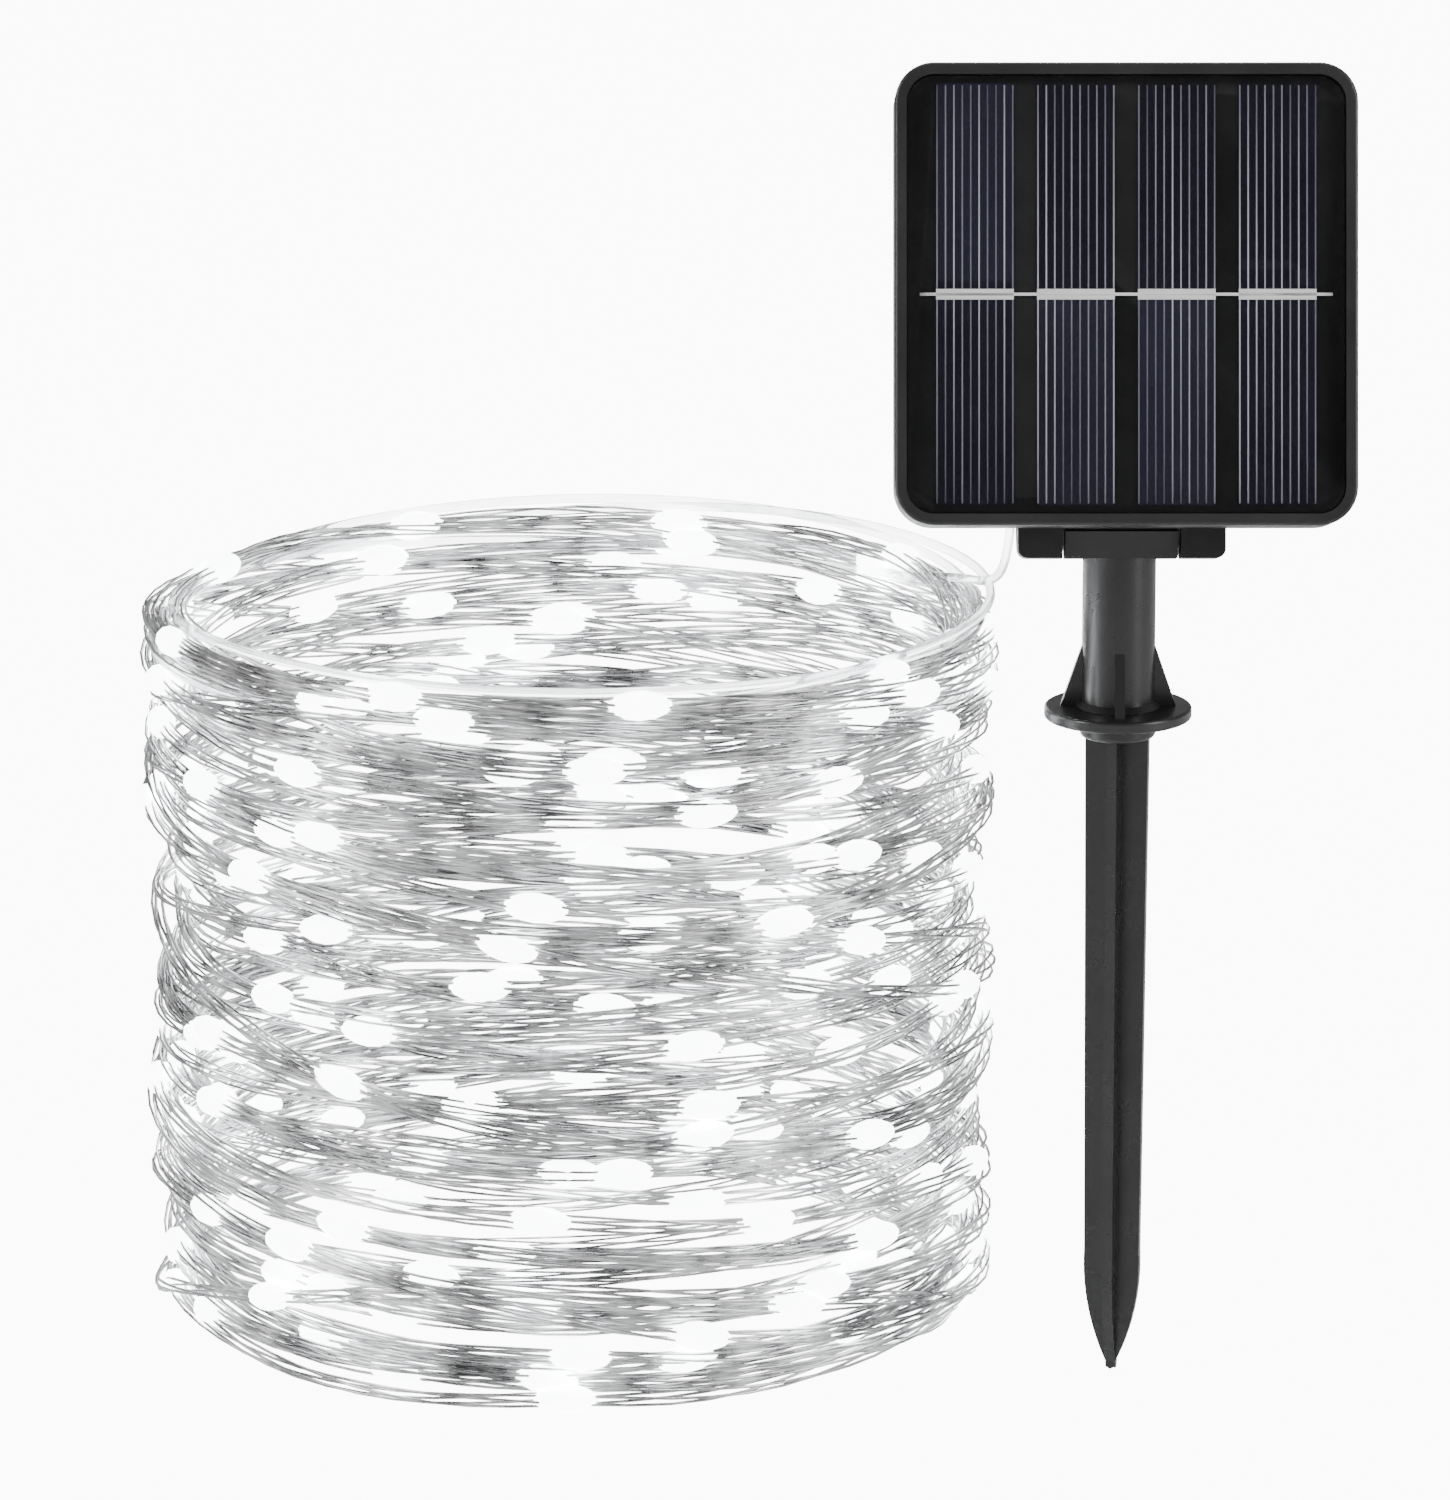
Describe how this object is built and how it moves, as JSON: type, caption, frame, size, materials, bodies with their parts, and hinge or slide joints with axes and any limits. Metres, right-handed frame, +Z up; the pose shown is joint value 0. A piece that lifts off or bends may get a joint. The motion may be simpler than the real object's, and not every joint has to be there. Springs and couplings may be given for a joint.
{
  "type": "solar string lights",
  "caption": "Tilting square solar head on a ground stake, with a clear lead and a coiled light string on fine wire.",
  "frame": {"origin": "tip of the ground spike, on the post's axis", "axes": "+Z up along the post; the solar face looks towards -Y; +X to the right of somebody who faces it"},
  "size_m": [0.2124, 0.157, 0.2338],
  "materials": {
    "black_plastic": "satin",
    "board_black": "satin",
    "silicon": "gloss",
    "tinned_ribbon": "satin",
    "clear_resin": "gloss",
    "black_rubber": "matte",
    "button_rubber": "matte",
    "screw_steel": "satin",
    "washer_plastic": "matte",
    "circuit_green": "satin",
    "component_black": "satin",
    "battery_can": "satin",
    "contact_plate": "satin",
    "clear_cable": "gloss",
    "clear_cable_coil": "gloss",
    "clear_sleeve": "gloss",
    "string_bundle": "gloss"
  },
  "bodies": {
    "post": {"post_tube": "black_plastic", "hinge_knuckle": "black_plastic", "lead_cable": "clear_cable", "lead_coil": "clear_cable_coil", "joint_sleeve": "clear_sleeve", "string_coil": "string_bundle"},
    "spike": {"ground_spike": "black_plastic"},
    "head": {"front_bezel": "black_plastic", "solar_board": "board_black", "solar_cells": "silicon", "cell_ribbons": "tinned_ribbon", "resin_cover": "clear_resin", "housing_gasket": "black_rubber", "back_housing": "black_plastic", "housing_screws": "screw_steel", "circuit_board": "circuit_green", "board_parts": "component_black", "board_screws": "screw_steel", "battery_cell": "battery_can", "spring_contact": "contact_plate", "plate_contact": "contact_plate", "battery_door": "black_plastic", "door_seal": "black_rubber", "door_screws": "screw_steel", "cable_gland": "black_rubber", "pivot_bolt": "screw_steel", "pivot_nut": "screw_steel", "pivot_washers": "washer_plastic"},
    "power_key": {"power_button": "button_rubber"},
    "mode_key": {"mode_button": "button_rubber"}
  },
  "joints": [
    {"name": "panel_tilt", "type": "hinge", "parent": "post", "child": "head", "pos_m": [0, 0, 0.1539], "axis": [-1, 0, 0], "range_deg": [-15, 75], "deforming": ["lead_cable"]},
    {"name": "spike_turn", "type": "hinge", "parent": "post", "child": "spike", "pos_m": [0, 0, 0.12], "axis": [0, 0, 1], "continuous": true},
    {"name": "power_press", "type": "slide", "parent": "head", "child": "power_key", "axis": [0, -0.9659, 0.2588], "range_m": [0, 0.0012], "stiffness_N_per_m": 400, "springref_m": -0.001},
    {"name": "mode_press", "type": "slide", "parent": "head", "child": "mode_key", "axis": [0, -0.9659, 0.2588], "range_m": [0, 0.0012], "stiffness_N_per_m": 400, "springref_m": -0.001}
  ]
}
